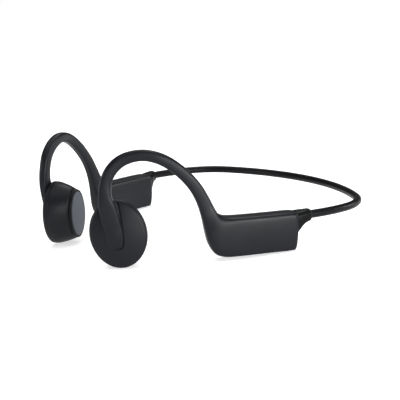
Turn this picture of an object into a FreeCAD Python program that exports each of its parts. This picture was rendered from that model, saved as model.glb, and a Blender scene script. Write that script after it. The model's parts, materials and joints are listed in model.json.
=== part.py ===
"""Bone conduction headphones: two ear arms joined by a sprung neckband.

Frame: millimetres, +Z up, the wearer faces -Y and the wearer's left is +X. The origin is on the
surface that the headphones stand on, below the middle of the whole object.

Each arm is a slim curved blade. Places on it are given as (along, out, up): the length along the
arm's plan arc from the end cap's seam towards the front, the distance outside that arc, and the
height. Everything is made for the wearer's left; the right arm is its mirror image.
"""
import FreeCAD, Part
import math
import os
import Sketcher

Vec = FreeCAD.Vector
Place = FreeCAD.Placement
Turn = FreeCAD.Rotation
FORWARD_TURN = -90.0  # turn about Z that takes +X forward along an arm, before its own angle is taken off

DIMENSIONS = {
    # plan arc of an arm
    "seam_across": 62.0, "seam_back": 10.74, "arm_radius": 260.0, "arm_toe": 14.0,
    "housing_pitch": 2.4, "heel_along": 3.0,
    # neckband
    "band_across": 64.6, "band_back": 16.39, "band_height": 13.8, "band_pitch": 3.0, "band_splay": 7.7,
    "band_side_radius": 60.6, "band_side_turn": 20.2, "band_corner_radius": 26.9,
    "band_corner_turn": 48.7, "band_thick": 3.6, "band_straight": 0.9, "band_socket": 3.6,
    "wire_thick": 1.1,
    "lead_thick": 0.9, "core_spacing": 0.65,
    # arm sleeve
    "housing_thick": 9.8, "core_along": 34.0, "core_rise": 11.6,
    # hard case in the housing
    "case_middle": 17.4, "case_length": 27.4, "case_thick": 7.0, "case_rise": 13.0, "case_wall": 0.8,
    "case_floor": 1.5, "case_corner": 1.2, "board_thick": 0.8, "battery_length": 20.6,
    "battery_thick": 4.4, "battery_rise": 7.6, "screw_radius": 0.8, "screw_length": 2.6,
    "screw_inset": 2.2, "screw_rise": 4.6, "post_rise": 3.0,
    # end cap
    "cap_shift": 1.1, "grommet_outer": 2.3, "grommet_inner": 1.85, "grommet_length": 2.0,
    # controls
    "button_length": 5.6, "button_width": 3.0, "button_recess": 0.3, "button_gap": 0.15,
    "button_travel": 0.4, "flange_rim": 0.7, "flange_thick": 0.5, "button_first": 8.2,
    "button_pitch": 7.6, "contact_radius": 0.9, "contact_pitch": 4.4,
    "contact_length": 2.2, "port_depth": 1.2, "light_radius": 0.6, "sound_hole": 0.6,
    "switch_length": 3.4, "switch_width": 2.6, "switch_rise": 1.6,
    "microphone_length": 2.6, "microphone_width": 1.8, "microphone_rise": 1.0,
    "charge_magnet_length": 1.8, "charge_magnet_width": 2.4, "charge_magnet_rise": 5.0,
    # electronics
    "board_rise": 8.6, "radio_length": 9.0, "radio_thick": 1.4, "radio_rise": 5.0,
    "protection_length": 12.0, "protection_width": 2.4,
    "battery_pad_length": 17.0, "battery_pad_thick": 0.5, "battery_pad_rise": 6.0,
    # pod
    "pod_across": 29.5, "pod_front": 59.71, "pod_height": 14.7, "pod_yaw": 39.0, "pod_pitch": 5.2,
    "pod_tilt": 11.0, "pod_long": 14.7, "pod_short": 12.25, "dome_rise": 2.6, "dome_round": 2.1,
    "cover_skirt": 1.3, "cover_wall": 1.6, "gasket_thick": 0.2, "shell_depth": 10.9,
    "shell_wall": 1.2, "bezel_long": 11.6, "bezel_short": 8.2, "bezel_depth": 0.8,
    "pad_long": 10.6, "pad_short": 7.2, "pad_proud": 0.4, "pad_thick": 1.7, "pad_round": 0.5,
    # driver
    "yoke_outer": 7.0, "yoke_inner": 5.75, "yoke_depth": 5.6, "yoke_floor": 1.0, "magnet_radius": 4.1,
    "magnet_depth": 3.3, "top_plate_depth": 1.2, "top_plate_radius": 4.25, "coil_outer": 5.35,
    "coil_inner": 4.75, "coil_depth": 3.3, "spring_radius": 7.5, "spring_thick": 0.3,
    "cushion_radius": 6.0, "cushion_depth": 3.3, "carrier_thick": 0.8, "cushion_top": 0.0, "spring_rise": 1.9,
}

# Sections of the arm sleeve: along and up of the middle, lean of its height towards the back, height,
# thickness, squareness (from 2 for an ellipse to 7 for a block with rounded corners) and, on the
# hook, the distance of the middle outside the arm's arc.
HOUSING_SECTIONS = [
    (2.2, 7.8, 5.0, 16.6, 9.4, 5.5),
    (5.0, 7.95, 3.0, 16.7, 9.8, 6.5),
    (12.5, 8.35, 0.0, 16.9, 9.8, 7.0),
    (22.0, 8.8, 0.0, 17.0, 9.8, 7.0),
    (28.0, 9.1, 1.0, 17.1, 9.8, 7.0),
    (33.0, 9.5, 10.0, 17.3, 9.7, 6.0),
    (35.8, 10.95, 15.3, 16.7, 9.2, 5.0),
    (37.75, 13.6, 21.1, 14.1, 8.0, 4.2),
    (38.8, 17.0, 27.0, 10.5, 6.5, 3.6),
    (39.65, 20.4, 34.0, 8.1, 5.3, 3.2),
]
HOOK_SECTIONS = [
    (40.8, 24.4, 49.0, 6.1, 4.6, 3.0, 0.0),
    (44.4, 32.3, 57.0, 5.3, 4.1, 2.8, 0.0),
    (50.5, 40.0, 46.0, 5.0, 4.1, 2.8, -0.2),
    (57.8, 45.5, 29.0, 4.8, 4.1, 2.8, -0.5),
    (65.6, 47.6, 5.0, 4.65, 4.1, 2.8, -1.2),
    (73.8, 46.0, -32.0, 5.0, 4.1, 2.8, -1.6),
    (78.9, 41.9, -62.0, 5.15, 4.1, 2.8, -1.5),
    (81.5, 36.7, -86.0, 5.1, 4.1, 2.8, -1.3),
]
# Sections of the tongue, in the pod's own frame: middle (rearward, up, out), width, thickness and
# squareness.
TONGUE_SECTIONS = [
    (-4.9, 16.7, 3.5, 5.7, 4.0, 2.8),
    (-4.2, 13.2, 3.0, 6.9, 3.9, 3.0),
    (-3.1, 8.3, 2.3, 7.6, 3.4, 3.4),
    (-1.8, 2.3, 2.0, 7.1, 3.0, 3.6),
    (-0.7, -3.5, 1.9, 6.3, 2.4, 3.6),
    (-0.5, -4.6, 1.8, 4.6, 1.4, 3.0),
]
SECTION_POINTS = 24

doc = FreeCAD.newDocument("bone_conduction_headphones")
sheet = doc.addObject("Spreadsheet::Sheet", "Dimensions")
pieces = {}


def fill_sheet():
    for row, (name, value) in enumerate(DIMENSIONS.items(), start=1):
        sheet.set(f"A{row}", name)
        sheet.set(f"B{row}", str(value))
        sheet.setAlias(f"B{row}", name)
    doc.recompute()


def dim(name):
    return float(sheet.get(name))


def bind(thing, **expressions):
    for prop, text in expressions.items():
        names = sorted((n for n in DIMENSIONS if n in text), key=len, reverse=True)
        for name in names:
            text = text.replace(name, f"<{names.index(name)}>")
        for index, name in enumerate(names):
            text = text.replace(f"<{index}>", f"Dimensions.{name}")
        thing.setExpression(prop, text)
    return thing


def keep(name, thing):
    thing.Label = name
    pieces[name] = thing
    return thing


# ---------------------------------------------------------------- frames

def arc_angle(along):
    return dim("arm_toe") + math.degrees(along / dim("arm_radius"))


def arm_place(along, out=0.0, up=0.0):
    """Frame on the arm: local +X forward along the arm, +Y outward, +Z up."""
    toe = math.radians(dim("arm_toe"))
    radius = dim("arm_radius")
    angle = math.radians(arc_angle(along))
    across = dim("seam_across") + (radius + out) * math.cos(angle) - radius * math.cos(toe)
    back = dim("seam_back") - (radius + out) * math.sin(angle) + radius * math.sin(toe)
    return Place(Vec(across, back, up), Turn(Vec(0, 0, 1), FORWARD_TURN - arc_angle(along)))


def housing_place(along, out=0.0, up=0.0):
    """Frame on the housing's flat underside, which rises forward from its heel; local +Z is its normal."""
    middle = dim("case_middle")
    rise = math.tan(math.radians(dim("housing_pitch"))) * (middle - dim("heel_along"))
    nose_up = Place(Vec(), Turn(Vec(0, 1, 0), -dim("housing_pitch")))
    return arm_place(middle, 0.0, rise) * nose_up * Place(Vec(along - middle, out, up), Turn())


def pod_place():
    """Frame on the pod's rim: local +X rearward, +Y up, +Z out of the pod's outer face."""
    upright = Turn(Vec(1, 0, 0), 90)
    yaw = Turn(Vec(0, 0, 1), 90 - dim("pod_yaw"))
    pitch = Turn(Vec(1, 0, 0), -dim("pod_pitch"))
    place = Vec(dim("pod_across"), -dim("pod_front"), dim("pod_height"))
    return Place(place, pitch * yaw * upright)


# ---------------------------------------------------------------- shapes

def section_wire(place, width, thick, squareness):
    """Closed rounded outline in the local XY plane of place: width along X, thickness along Y."""
    points = []
    for step in range(SECTION_POINTS):
        angle = 2 * math.pi * step / SECTION_POINTS
        wide = math.copysign(abs(math.cos(angle)) ** (2 / squareness), math.cos(angle))
        deep = math.copysign(abs(math.sin(angle)) ** (2 / squareness), math.sin(angle))
        points.append(place.multVec(Vec(wide * width / 2, deep * thick / 2, 0)))
    curve = Part.BSplineCurve()
    curve.interpolate(Points=points, PeriodicFlag=True)
    return Part.Wire([curve.toShape()])


def arm_section(along, up, lean, height, thick, squareness, out=0.0):
    """Section across the arm: its width runs up the arm's side, leaning back by lean."""
    upright = Turn(Vec(0, 1, 0), -90 - lean)
    place = arm_place(along, out, up) * Place(Vec(), upright)
    return section_wire(place, height, thick, squareness)


def tongue_section(rear, up, out, width, thick, squareness):
    level = Turn(Vec(0, 0, 1), 180) * Turn(Vec(1, 0, 0), 90)
    place = pod_place() * Place(Vec(rear, up, out), level)
    return section_wire(place, width, thick, squareness)


def solid_feature(name, shape):
    feature = doc.addObject("Part::Feature", name)
    feature.Shape = shape
    feature.Placement = Place()
    return feature


def cut(name, base, *tools):
    """base less every tool, as a document object."""
    if len(tools) == 1:
        tool = tools[0]
    else:
        tool = doc.addObject("Part::MultiFuse", name + "_tools")
        tool.Shapes = list(tools)
    result = doc.addObject("Part::Cut", name)
    result.Base = base
    result.Tool = tool
    return result


def block(name, place, length, thick, rise, middle=Vec()):
    """Box centred on middle in the frame place; its sizes are expressions in the sheet's names."""
    box = doc.addObject("Part::Box", name)
    bind(box, Length=length, Width=thick, Height=rise)
    doc.recompute()
    corner = middle - Vec(box.Length.Value / 2, box.Width.Value / 2, box.Height.Value / 2)
    box.Placement = place * Place(corner, Turn())
    return box


def disc(name, place, radius, depth, start=Vec()):
    """Cylinder that grows along the local +Z of place from start."""
    cylinder = doc.addObject("Part::Cylinder", name)
    bind(cylinder, Radius=radius, Height=depth)
    cylinder.Placement = place * Place(start, Turn())
    return cylinder


def ring(name, place, outer, inner, depth, start=Vec()):
    return cut(name, disc(name + "_outer", place, outer, depth, start),
               disc(name + "_inner", place, inner, depth, start))


def rounded(name, base, radius, wanted):
    """Fillet of every edge of base that wanted(edge) picks."""
    doc.recompute()
    result = doc.addObject("Part::Fillet", name)
    result.Base = base
    chosen = [i for i, edge in enumerate(base.Shape.Edges, start=1) if wanted(edge)]
    result.Edges = [(i, radius, radius) for i in chosen]
    return result


def oval(name, long_radius, short_radius, level):
    """Ellipse across the pod at a level along its local Z; its long axis leans by pod_tilt."""
    ellipse = doc.addObject("Part::Ellipse", name)
    bind(ellipse, MajorRadius=long_radius, MinorRadius=short_radius)
    lean = Turn(Vec(0, 0, 1), 90 + dim("pod_tilt"))
    ellipse.Placement = pod_place() * Place(Vec(0, 0, level), lean)
    return ellipse


def oval_loft(name, *levels):
    """Solid through ovals given as (long radius, short radius, level)."""
    loft = doc.addObject("Part::Loft", name)
    loft.Sections = [oval(f"{name}_oval_{i}", *level) for i, level in enumerate(levels)]
    loft.Solid = True
    loft.Ruled = False
    return loft


def plane_of(body, role):
    return next(f for f in body.Origin.OriginFeatures if f.Role == role)


def body_sketch(body, name, role="XY_Plane", offset=None):
    sketch = body.newObject("Sketcher::SketchObject", name)
    sketch.AttachmentSupport = [(plane_of(body, role), "")]
    sketch.MapMode = "FlatFace"
    if offset is not None:
        sketch.AttachmentOffset = offset
    return sketch


def sketch_circle(sketch, radius, centre=Vec()):
    """Circle with its centre fixed and its radius bound to an expression."""
    index = sketch.addGeometry(Part.Circle(centre, Vec(0, 0, 1), 1.0))
    sketch.addConstraint(Sketcher.Constraint("DistanceX", index, 3, centre.x))
    sketch.addConstraint(Sketcher.Constraint("DistanceY", index, 3, centre.y))
    radial = sketch.addConstraint(Sketcher.Constraint("Radius", index, 1.0))
    bind(sketch, **{f"Constraints[{radial}]": radius})


def sketch_pill(sketch, length, width):
    """Slot outline along X with half-round ends, about the sketch's origin."""
    reach = (length - width) / 2
    half = width / 2
    up = Vec(0, 0, 1)
    sketch.addGeometry([
        Part.LineSegment(Vec(-reach, half, 0), Vec(reach, half, 0)),
        Part.ArcOfCircle(Part.Circle(Vec(reach, 0, 0), up, half), -math.pi / 2, math.pi / 2),
        Part.LineSegment(Vec(reach, -half, 0), Vec(-reach, -half, 0)),
        Part.ArcOfCircle(Part.Circle(Vec(-reach, 0, 0), up, half), math.pi / 2, 3 * math.pi / 2),
    ])


def pill_body(name, place, layers):
    """Body of stacked pills: each layer is (length, width, start, height expression) along local Z."""
    body = doc.addObject("PartDesign::Body", name)
    body.Placement = place
    for i, (length, width, start, height) in enumerate(layers):
        sketch = body_sketch(body, f"{name}_outline_{i}", offset=Place(Vec(0, 0, start), Turn()))
        sketch_pill(sketch, length, width)
        pad = body.newObject("PartDesign::Pad", f"{name}_pad_{i}")
        pad.Profile = sketch
        bind(pad, Length=height)
    return body


def tube_route(points):
    """Straight runs joined by tangent arcs, each as large as its two runs allow."""
    edges = []
    here = points[0]
    for before, corner, after in zip(points, points[1:], points[2:]):
        into = (corner - before).normalize()
        leave = (after - corner).normalize()
        half_turn = into.getAngle(leave) / 2
        setback = 0.45 * min((corner - before).Length, (after - corner).Length)
        start = corner - into * setback
        finish = corner + leave * setback
        inward = (leave - into).normalize()
        radius = setback / math.tan(half_turn)
        centre = corner + inward * (radius / math.cos(half_turn))
        middle = centre - inward * radius
        edges.append(Part.LineSegment(here, start).toShape())
        edges.append(Part.Arc(start, middle, finish).toShape())
        here = finish
    edges.append(Part.LineSegment(here, points[-1]).toShape())
    return Part.Wire(edges)


def tube(name, points, diameter):
    """Round rod swept along a route, as a sweep of a bound circle."""
    route = solid_feature(name + "_route", tube_route(points))
    profile = doc.addObject("Part::Circle", name + "_profile")
    bind(profile, Radius=diameter + " / 2")
    profile.Placement = Place(points[0], Turn(Vec(0, 0, 1), points[1] - points[0]))
    sweep = doc.addObject("Part::Sweep", name)
    sweep.Sections = [profile]
    sweep.Spine = (route, [])
    sweep.Solid = True
    sweep.Frenet = False
    return sweep


# ---------------------------------------------------------------- neckband

def band_spine(sketch):
    """Side, corner and back arcs of the neckband, with a straight end inside each cap."""
    splay = math.radians(dim("band_splay"))
    heading = splay
    spot = Vec(dim("band_across"), 0, 0)
    reach = dim("band_straight") + dim("band_socket")
    inlet = spot - Vec(math.sin(splay), math.cos(splay), 0) * reach
    arcs = []
    for place in ("side", "corner"):
        radius, turn = f"band_{place}_radius", f"band_{place}_turn"
        left = Vec(-math.cos(heading), math.sin(heading), 0)
        centre = spot + left * dim(radius)
        start = -heading
        heading -= math.radians(dim(turn))
        arcs.append((centre, dim(radius), start, -heading))
        spot = centre + Vec(math.cos(-heading), math.sin(-heading), 0) * dim(radius)
    back_radius = spot.x / math.cos(-heading)
    back_centre = Vec(0, spot.y - back_radius * math.sin(-heading), 0)
    up = Vec(0, 0, 1)
    outline = [Part.LineSegment(inlet, Vec(dim("band_across"), 0, 0))]
    outline += [Part.ArcOfCircle(Part.Circle(c, up, r), a, b) for c, r, a, b in arcs]
    outline.append(Part.ArcOfCircle(Part.Circle(back_centre, up, back_radius),
                                    -heading, math.pi + heading))
    for c, r, a, b in reversed(arcs):
        far = Part.Circle(Vec(-c.x, c.y, 0), up, r)
        outline.append(Part.ArcOfCircle(far, math.pi - b, math.pi - a))
    outline.append(Part.LineSegment(Vec(-dim("band_across"), 0, 0), Vec(-inlet.x, inlet.y, 0)))
    sketch.addGeometry(outline)
    return inlet


def band_piece(name, circles):
    """Pipe along the neckband whose profile is the circles given as (radius, height offset)."""
    body = doc.addObject("PartDesign::Body", name)
    body.Placement = Place(Vec(0, dim("band_back"), dim("band_height")),
                           Turn(Vec(1, 0, 0), -dim("band_pitch")))
    spine = body_sketch(body, name + "_spine")
    inlet = band_spine(spine)
    facing = Turn(Vec(0, 0, 1), -dim("band_splay")) * Turn(Vec(1, 0, 0), 90)
    profile = body_sketch(body, name + "_profile", offset=Place(inlet, facing))
    for radius, height in circles:
        sketch_circle(profile, radius, Vec(0, height, 0))
    pipe = body.newObject("PartDesign::AdditivePipe", name + "_pipe")
    pipe.Profile = profile
    pipe.Spine = spine
    return keep(name, body)


def make_neckband():
    spacing = dim("core_spacing")
    wire = ("wire_thick / 2", spacing)
    lead = ("lead_thick / 2", -spacing)
    band_piece("neckband_sleeve", [("band_thick / 2", 0.0), wire, lead])
    band_piece("neckband_wire", [wire])
    band_piece("neckband_lead", [lead])


# ---------------------------------------------------------------- arm

def hook_route(shift):
    """Points along the hook for a core, shifted towards the inside of the bend by shift."""
    route = [arm_place(dim("core_along") + shift, 0.0, dim("core_rise")).Base]
    for along, up, lean, width, thick, squareness, out in HOOK_SECTIONS:
        across = Turn(Vec(0, 1, 0), -lean).multVec(Vec(0, 0, -shift))
        route.append(arm_place(along, out, up).multVec(across))
    for rear, up, out, *sizes in TONGUE_SECTIONS[:2]:
        route.append(pod_place().multVec(Vec(rear + shift, up, out)))
    return route


def sleeve_form():
    """Whole outside of the sleeve: housing skin, ear hook and the tongue on the pod."""
    wires = [arm_section(*row) for row in HOUSING_SECTIONS + HOOK_SECTIONS]
    wires += [tongue_section(*row) for row in TONGUE_SECTIONS]
    form = solid_feature("sleeve_loft", Part.makeLoft(wires, True, False))
    above = doc.addObject("Part::Box", "above_table")
    above.Length, above.Width, above.Height = 200.0, 200.0, 100.0
    corner = Vec(-above.Length.Value / 2, -above.Width.Value / 2, 0)
    above.Placement = housing_place(dim("case_middle")) * Place(corner, Turn())
    common = doc.addObject("Part::Common", "sleeve_form")
    common.Base = form
    common.Tool = above
    return common


def case_place():
    return housing_place(dim("case_middle"), 0.0, dim("case_floor") + dim("case_rise") / 2)


def case_form(name):
    box = block(name + "_box", case_place(), "case_length", "case_thick", "case_rise")
    corner = dim("case_corner")
    thick = dim("case_thick")
    return rounded(name, box, corner, lambda edge: abs(edge.Length - thick) < 1e-6)


def make_case(prefix, tools):
    """Tray open towards the head, its lid, and the two screws that hold it shut."""
    place = case_place()
    lid_middle = Vec(0, -dim("case_thick") / 2 + dim("case_wall") / 2, 0)
    base_cut = block(prefix + "base_slice", place, "case_length + 2", "case_wall", "case_rise + 2",
                     lid_middle)
    hollow = block(prefix + "hollow", place, "case_length - 2 * case_wall", "case_thick - 2 * case_wall",
                   "case_rise - 2 * case_wall")
    screws = []
    posts = []
    for side in (-1, 1):
        spot = Vec(side * (dim("case_length") / 2 - dim("screw_inset")), 0, dim("screw_rise"))
        head = Vec(spot.x, 0.1 - dim("case_thick") / 2, spot.z)
        facing = place * Place(head, Turn(Vec(1, 0, 0), -90))
        screws.append(disc(f"{prefix}screw_{side + 1}", facing, "screw_radius", "screw_length"))
        posts.append(block(f"{prefix}post_{side + 1}", place, "2 * screw_inset - 2 * case_wall",
                           "case_thick - 2 * case_wall", "post_rise", spot))
    walls = cut(prefix + "case_walls", case_form(prefix + "base_form"), base_cut, hollow)
    with_posts = doc.addObject("Part::MultiFuse", prefix + "case_with_posts")
    with_posts.Shapes = [walls] + posts
    base = cut(prefix + "case_base_shape", with_posts, *(screws + tools))
    lid_form = doc.addObject("Part::Common", prefix + "lid_form")
    lid_form.Base = case_form(prefix + "lid_outline")
    lid_form.Tool = block(prefix + "lid_slice", place, "case_length + 2", "case_wall", "case_rise + 2",
                          lid_middle)
    lid = cut(prefix + "case_lid_shape", lid_form, *screws)
    both = doc.addObject("Part::Compound", prefix + "screw_pair")
    both.Links = screws
    return base, lid, both


def cap_form():
    """End cap: it narrows from the sleeve's rear face to the round collar about the neckband."""
    shift = dim("cap_shift")
    wires = [
        arm_section(1.94, 10.75, 5.0, 10.3, 9.0, 4.0),
        arm_section(1.0, 11.6, 5.0, 8.8, 8.7, 3.8, 0.1 * shift),
        arm_section(0.1, 12.25, 4.0, 7.7, 8.3, 3.6, 0.3 * shift),
        arm_section(-1.9, 13.25, 2.0, 6.1, 6.9, 3.0, 0.75 * shift),
        arm_section(-3.5, 13.7, 0.0, 5.5, 6.0, 2.6, shift),
        arm_section(-4.9, 13.8, 0.0, 5.2, 5.6, 2.5, shift),
    ]
    return solid_feature("cap_loft", Part.makeLoft(wires, True, False))


def band_end_place():
    """Frame at the cap's mouth: local +Z along the band, away from the cap."""
    tilt = Turn(Vec(1, 0, 0), -90 - dim("band_pitch"))
    aim = Turn(Vec(0, 0, 1), -dim("band_splay")) * tilt
    start = Place(Vec(dim("band_across"), dim("band_back"), dim("band_height")), aim)
    return start * Place(Vec(0, 0, -dim("band_straight")), Turn())


def make_cap():
    place = band_end_place()
    socket = disc("cap_socket", place, "band_thick / 2 + 0.05", "2 * band_socket",
                  Vec(0, 0, -dim("band_socket")))
    seat_start = Vec(0, 0, -dim("grommet_length"))
    seat = disc("grommet_seat", place, "grommet_outer", "3 * grommet_length", seat_start)
    cap = cut("cap_shape", cap_form(), socket, seat)
    grommet = ring("grommet_shape", place, "grommet_outer", "grommet_inner", "grommet_length",
                   seat_start)
    return cap, grommet


# ---------------------------------------------------------------- controls of the right arm

def button_spot(index):
    return dim("button_first") + index * dim("button_pitch")


def make_button(name, index):
    """Button with a retaining flange that rests on the case's floor from inside."""
    floor = dim("case_floor") + dim("case_wall")
    length, width, rim = dim("button_length"), dim("button_width"), dim("flange_rim")
    place = housing_place(button_spot(index))
    return pill_body(name, place, [
        (length, width, dim("button_recess"), "case_floor + case_wall - button_recess"),
        (length + 2 * rim, width + 2 * rim, floor, "flange_thick"),
    ])


def button_hole(index):
    gap = 2 * dim("button_gap")
    return pill_body(f"button_hole_{index}", housing_place(button_spot(index), 0.0, -1.0), [
        (dim("button_length") + gap, dim("button_width") + gap, 0.0, "case_floor + case_wall + 1"),
    ])


def outward_place(along, out, up):
    """Frame on the outer face: local +Z outward, local +X forward."""
    return housing_place(along, out, up) * Place(Vec(), Turn(Vec(1, 0, 0), -90))


def make_controls():
    """Buttons, board, charging port, light and microphone, made on the left for mirroring."""
    floor = dim("case_floor") + dim("case_wall")
    parts = {}
    for index, name in enumerate(("volume_down_button", "volume_up_button", "power_button")):
        parts[name] = make_button(name + "_shape", index)
    holes = [button_hole(index) for index in range(3)]

    switch_level = floor + dim("flange_thick") + dim("button_travel") + 0.1
    switch_middle = Vec(0, 0.1, dim("switch_rise") / 2)
    switches = doc.addObject("Part::Compound", "switch_set")
    switches.Links = [block(f"switch_{i}", housing_place(button_spot(i), 0.0, switch_level),
                            "switch_length", "switch_width", "switch_rise", switch_middle)
                      for i in range(3)]
    parts["button_switches"] = switches

    board_middle = Vec(0, -1.6, 1.2)
    parts["main_board"] = block("board_shape", case_place(), "case_length - 7.5", "board_thick",
                                "board_rise", board_middle)
    radio_out = board_middle.y + dim("board_thick") / 2 + dim("radio_thick") / 2
    parts["radio_module"] = block("radio_shape", case_place(), "radio_length", "radio_thick",
                                  "radio_rise", Vec(-1.0, radio_out, 2.6))

    port = outward_place(9.0, dim("housing_thick") / 2 - 1.3, 9.0)
    plate = pill_body("port_plate", port, [(9.4, 4.6, 0.0, "port_depth")])
    plate_hole = pill_body("port_hole", port, [(9.6, 4.8, -1.4, "port_depth + 4")])
    pins, pin_tools = ([disc(f"{use}_{side + 1}", port, "contact_radius", "contact_length",
                             Vec(side * dim("contact_pitch") / 2, 0, -0.8)) for side in (-1, 1)]
                       for use in ("pin", "pin_tool"))
    contacts = doc.addObject("Part::Compound", "contact_pair")
    contacts.Links = pins
    parts["charge_contacts"] = contacts
    parts["charge_plate"] = cut("plate_shape", plate, *pin_tools)
    end_wall = dim("case_wall") - dim("case_length") / 2
    parts["charge_magnet"] = block("charge_magnet_shape", case_place(), "charge_magnet_length",
                                   "charge_magnet_width", "charge_magnet_rise",
                                   Vec(end_wall + dim("charge_magnet_length") / 2, 1.2, -2.0))

    light_place = housing_place(28.9, -1.2)
    light = disc("light_shape", light_place, "light_radius", "case_floor + case_wall - 0.3", Vec(0, 0, 0.3))
    light_hole = disc("light_hole", light_place, "light_radius", "case_floor + case_wall + 1",
                      Vec(0, 0, -1))
    parts["status_light"] = light
    sound_place = housing_place(28.9, 1.6)
    sound_hole = disc("sound_bore", sound_place, "sound_hole", "case_floor + case_wall + 1", Vec(0, 0, -1))
    parts["microphone"] = block("microphone_shape", sound_place, "microphone_length",
                                "microphone_width", "microphone_rise",
                                Vec(0, 0, floor + dim("microphone_rise") / 2))
    tools = holes + [plate_hole, light_hole, sound_hole]
    return parts, tools


def make_power():
    """Battery with its cushion and protection board, in the left housing."""
    place = case_place()
    room = dim("case_thick") / 2 - dim("case_wall")
    battery_out = room - dim("battery_thick") / 2
    battery = block("battery_shape", place, "battery_length", "battery_thick", "battery_rise",
                    Vec(0, battery_out, -1.6))
    pad_out = battery_out - dim("battery_thick") / 2 - dim("battery_pad_thick") / 2
    foam = block("foam_shape", place, "battery_pad_length", "battery_pad_thick", "battery_pad_rise",
                 Vec(0, pad_out, -1.6))
    board = block("protection_shape", place, "protection_length", "protection_width", "board_thick",
                  Vec(0, 0.4, 4.4))
    return {"battery": battery, "battery_cushion": foam, "protection_board": board}


# ---------------------------------------------------------------- pod

def make_driver(parts, floor_level):
    """Moving-coil vibrator on the pod's axis; levels fall from the outer face to the skin pad."""
    place = pod_place()
    yoke = doc.addObject("PartDesign::Body", "yoke_shape")
    yoke.Placement = place
    section = body_sketch(yoke, "yoke_section", "XZ_Plane")
    outer, inner, depth, floor = (dim(n) for n in ("yoke_outer", "yoke_inner", "yoke_depth", "yoke_floor"))
    corners = [Vec(0, floor_level, 0), Vec(outer, floor_level, 0), Vec(outer, floor_level - depth, 0),
               Vec(inner, floor_level - depth, 0), Vec(inner, floor_level - floor, 0),
               Vec(0, floor_level - floor, 0)]
    for start, finish in zip(corners, corners[1:] + corners[:1]):
        section.addGeometry(Part.LineSegment(start, finish))
    turned = yoke.newObject("PartDesign::Revolution", "yoke_turned")
    turned.Profile = section
    turned.ReferenceAxis = (section, ["V_Axis"])
    turned.Angle = 360.0
    parts["driver_yoke"] = yoke

    magnet_top = floor_level - floor
    magnet_low = magnet_top - dim("magnet_depth")
    plate_low = magnet_low - dim("top_plate_depth")
    parts["driver_magnet"] = disc("magnet_shape", place, "magnet_radius", "magnet_depth",
                                  Vec(0, 0, magnet_low))
    parts["driver_top_plate"] = disc("top_plate_shape", place, "top_plate_radius", "top_plate_depth",
                                     Vec(0, 0, plate_low))
    spring_top = dim("spring_rise") - dim("shell_depth")
    parts["voice_coil"] = ring("coil_shape", place, "coil_outer", "coil_inner", "coil_depth",
                               Vec(0, 0, spring_top))
    spring = doc.addObject("PartDesign::Body", "spring_shape")
    spring.Placement = place
    outline = body_sketch(spring, "spring_outline",
                          offset=Place(Vec(0, 0, spring_top - dim("spring_thick")), Turn()))
    sketch_circle(outline, "spring_radius")
    pad = spring.newObject("PartDesign::Pad", "spring_pad")
    pad.Profile = outline
    bind(pad, Length="spring_thick")
    doc.recompute()
    slot = body_sketch(spring, "spring_slot", offset=Place(Vec(0, 0, spring_top), Turn()))
    sketch_circle(slot, "0.7", Vec(6.3, 0, 0))
    pocket = spring.newObject("PartDesign::Pocket", "spring_pocket")
    pocket.Profile = slot
    pocket.Type = "ThroughAll"
    pattern = spring.newObject("PartDesign::PolarPattern", "spring_holes")
    pattern.Originals = [pocket]
    pattern.Axis = (outline, ["N_Axis"])
    pattern.Angle = 360.0
    pattern.Occurrences = 8
    spring.Tip = pattern
    parts["driver_spring"] = spring
    carrier_level = spring_top - dim("spring_thick") - dim("carrier_thick")
    parts["pad_carrier"] = oval_loft("carrier_shape", ("pad_long - 0.9", "pad_short - 0.9", carrier_level),
                                     ("pad_long - 0.9", "pad_short - 0.9",
                                      carrier_level + dim("carrier_thick")))
    return carrier_level


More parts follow.
